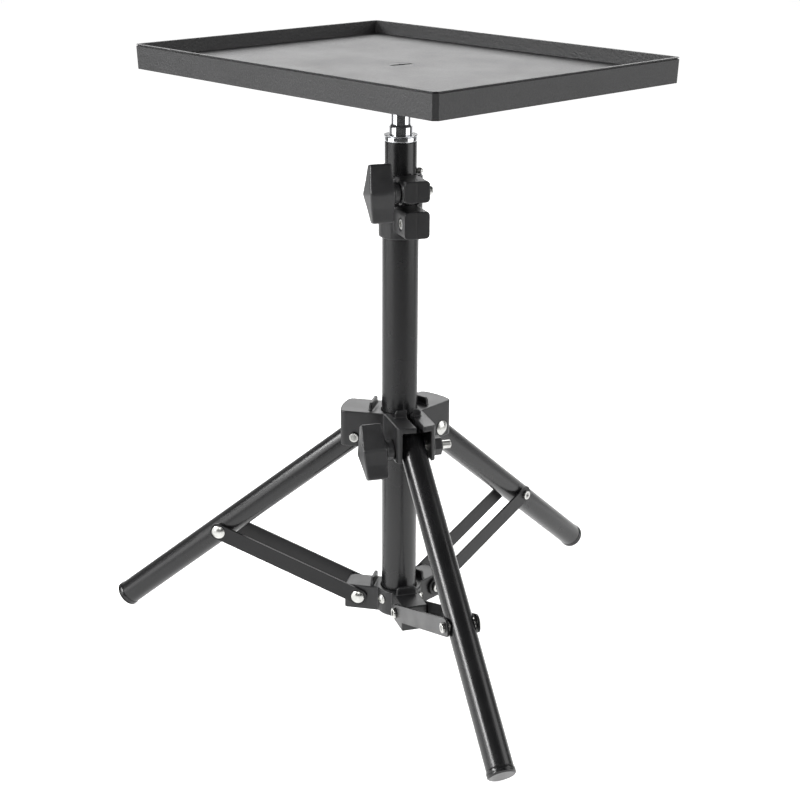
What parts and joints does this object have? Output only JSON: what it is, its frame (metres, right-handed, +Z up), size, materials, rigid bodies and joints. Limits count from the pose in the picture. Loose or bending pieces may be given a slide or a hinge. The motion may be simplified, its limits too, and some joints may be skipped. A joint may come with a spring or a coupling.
{
  "type": "projector tripod stand",
  "caption": "Low tripod stand for a projector: a shallow rectangular tray on a telescoping mast, held by a clamp, over a sliding collar with folding legs and flat strut bars.",
  "frame": {"origin": "on the floor, under the middle of the whole stand's bounding box", "axes": "+Z up along the column, X along the tray's long side; the column's axis stands at x -0.0071, y -0.0462 m"},
  "size_m": [0.3869, 0.3503, 0.4301],
  "materials": {
    "black_paint": "semi-gloss black powder coat on steel tube and flat bar",
    "black_nylon": "satin black moulded nylon",
    "black_abs": "fine-textured black moulded plastic",
    "chrome": "polished chrome plate",
    "zinc": "bright zinc plate"
  },
  "bodies": {
    "column": {"outer_tube": "black_paint", "upper_clamp": "black_nylon", "clamp_band_screw": "zinc", "clamp_band_nut": "zinc", "upper_knob_nut": "zinc", "lower_hub": "black_nylon", "bottom_plug": "black_nylon", "front_hub_pin": "zinc", "right_hub_pin": "zinc", "left_hub_pin": "zinc", "front_hub_screw": "zinc", "right_hub_screw": "zinc", "left_hub_screw": "zinc"},
    "collar": {"leg_collar": "black_nylon", "right_hinge_pin": "zinc", "left_hinge_pin": "zinc", "lower_knob_nut": "zinc"},
    "mast": {"inner_tube": "black_paint", "guide_bush": "black_nylon", "mast_end_ring": "chrome", "mast_stop": "zinc", "spigot": "chrome", "tray_screw": "black_paint"},
    "tray": {"tray": "black_abs"},
    "upper_knob": {"upper_knob": "black_nylon", "upper_knob_bolt": "zinc"},
    "lower_knob": {"lower_knob": "black_nylon", "lower_knob_bolt": "zinc"},
    "front_leg": {"front_leg_tube": "black_paint", "front_leg_plug": "black_nylon", "front_leg_sleeve": "zinc", "front_foot_cap": "black_nylon"},
    "right_leg": {"right_leg_tube": "black_paint", "right_leg_plug": "black_nylon", "right_leg_sleeve": "zinc", "right_foot_cap": "black_nylon"},
    "left_leg": {"left_leg_tube": "black_paint", "left_leg_plug": "black_nylon", "left_leg_sleeve": "zinc", "left_foot_cap": "black_nylon"},
    "front_strut": {"front_strut_bar_a": "black_paint", "front_strut_bar_b": "black_paint", "front_strut_rivet": "zinc", "front_strut_screw": "zinc"},
    "right_strut": {"right_strut_bar_a": "black_paint", "right_strut_bar_b": "black_paint", "right_strut_rivet": "zinc", "right_strut_screw": "zinc"},
    "left_strut": {"left_strut_bar_a": "black_paint", "left_strut_bar_b": "black_paint", "left_strut_rivet": "zinc", "left_strut_screw": "zinc"}
  },
  "joints": [
    {"name": "collar_slide", "type": "slide", "parent": "column", "child": "collar", "axis": [0, 0, 1], "range_m": [0, 0.1215]},
    {"name": "front_leg_hinge", "type": "hinge", "parent": "collar", "child": "front_leg", "pos_m": [0.01965, -0.05928, 0.15906], "axis": [0.4399, 0.898, 0], "range_deg": [0, 44.66]},
    {"name": "right_leg_hinge", "type": "hinge", "parent": "collar", "child": "right_leg", "pos_m": [-0.00913, -0.01643, 0.15906], "axis": [-0.9977, -0.068, 0], "range_deg": [0, 44.66]},
    {"name": "left_leg_hinge", "type": "hinge", "parent": "collar", "child": "left_leg", "pos_m": [-0.03184, -0.06279, 0.15906], "axis": [0.5577, -0.83, 0], "range_deg": [0, 44.66]},
    {"name": "front_strut_hinge", "type": "hinge", "parent": "column", "child": "front_strut", "pos_m": [0.01862, -0.05877, 0.0312], "axis": [-0.4399, -0.898, 0], "range_deg": [0, 60.86]},
    {"name": "right_strut_hinge", "type": "hinge", "parent": "column", "child": "right_strut", "pos_m": [-0.00906, -0.01758, 0.0312], "axis": [0.9977, 0.068, 0], "range_deg": [0, 60.86]},
    {"name": "left_strut_hinge", "type": "hinge", "parent": "column", "child": "left_strut", "pos_m": [-0.03089, -0.06214, 0.0312], "axis": [-0.5577, 0.83, 0], "range_deg": [0, 60.86]},
    {"name": "mast_slide", "type": "slide", "parent": "column", "child": "mast", "axis": [0, 0, 1], "range_m": [0, 0.2]},
    {"name": "tray_swivel", "type": "hinge", "parent": "mast", "child": "tray", "pos_m": [-0.00711, -0.04616, 0.4135], "axis": [0, 0, 1], "continuous": true},
    {"name": "upper_knob_turn", "type": "hinge", "parent": "column", "child": "upper_knob", "pos_m": [0.01522, -0.05625, 0.3402], "axis": [-0.4115, -0.9114, 0], "range_deg": [0, 540]},
    {"name": "lower_knob_turn", "type": "hinge", "parent": "collar", "child": "lower_knob", "pos_m": [0.01965, -0.05928, 0.15906], "axis": [-0.4399, -0.898, 0], "range_deg": [0, 540]}
  ],
  "couplings": [
    {"joint": "front_leg_hinge", "follows": "collar_slide", "rad_per_m": 6.415},
    {"joint": "right_leg_hinge", "follows": "collar_slide", "rad_per_m": 6.415},
    {"joint": "left_leg_hinge", "follows": "collar_slide", "rad_per_m": 6.415},
    {"joint": "front_strut_hinge", "follows": "collar_slide", "rad_per_m": 8.7415},
    {"joint": "right_strut_hinge", "follows": "collar_slide", "rad_per_m": 8.7415},
    {"joint": "left_strut_hinge", "follows": "collar_slide", "rad_per_m": 8.7415}
  ]
}
